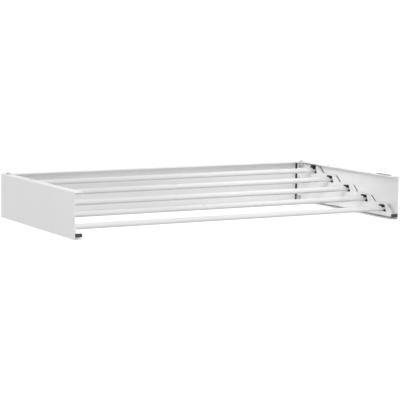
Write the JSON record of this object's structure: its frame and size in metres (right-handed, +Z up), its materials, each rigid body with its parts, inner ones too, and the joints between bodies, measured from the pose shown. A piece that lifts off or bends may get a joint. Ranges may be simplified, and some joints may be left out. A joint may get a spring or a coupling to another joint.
{
  "type": "wall mounted drying rack",
  "caption": "Wall-mounted fold-down drying rack: shallow open steel frame with stepped side brackets and round hanging bars, hinged on a wall panel.",
  "frame": {"origin": "centre of the four wall holes, on the wall plane", "axes": "+Z up, +X along the bars to the right seen from the front, -Y out from the wall into the room"},
  "size_m": [0.8, 0.406, 0.1015],
  "materials": {
    "frame_white": "semi-gloss white powder coat",
    "bar_white": "semi-gloss white powder coat on round tube",
    "ear_alloy": "satin grey die-cast alloy",
    "bumper_white": "satin white",
    "socket_plastic": "black moulded plastic",
    "plug_plastic": "black moulded plastic",
    "bush_plastic": "white acetal",
    "stop_rubber": "matt black",
    "pin_steel": "zinc plated",
    "inner_steel": "white powder coat, welded in before coating",
    "catch_steel": "brushed"
  },
  "bodies": {
    "wall": {"back_panel": "frame_white", "left_hinge_ear": "ear_alloy", "left_pivot_bush": "bush_plastic", "left_stop_strip": "stop_rubber", "right_hinge_ear": "ear_alloy", "right_pivot_bush": "bush_plastic", "right_stop_strip": "stop_rubber"},
    "rack": {"catch_plate": "catch_steel", "bar_1": "bar_white", "bar_2": "bar_white", "bar_3": "bar_white", "bar_4": "bar_white", "bar_5": "bar_white", "left_side_panel": "frame_white", "left_stepped_bracket": "frame_white", "left_bottom_rail": "frame_white", "left_rail_plug": "plug_plastic", "left_bracket_standoffs": "inner_steel", "left_flange_bumper": "bumper_white", "left_pivot_pin": "pin_steel", "left_pin_clip": "pin_steel", "right_side_panel": "frame_white", "right_stepped_bracket": "frame_white", "right_bottom_rail": "frame_white", "right_rail_plug": "plug_plastic", "right_bracket_standoffs": "inner_steel", "right_flange_bumper": "bumper_white", "right_pivot_pin": "pin_steel", "right_pin_clip": "pin_steel", "left_bar_socket_1": "socket_plastic", "left_bar_socket_2": "socket_plastic", "left_bar_socket_3": "socket_plastic", "left_bar_socket_4": "socket_plastic", "left_bar_socket_5": "socket_plastic", "right_bar_socket_1": "socket_plastic", "right_bar_socket_2": "socket_plastic", "right_bar_socket_3": "socket_plastic", "right_bar_socket_4": "socket_plastic", "right_bar_socket_5": "socket_plastic"}
  },
  "joints": [
    {"name": "rack_fold", "type": "hinge", "parent": "wall", "child": "rack", "pos_m": [0, -0.015, 0.044], "axis": [-1, 0, 0], "range_deg": [0, 90]}
  ]
}
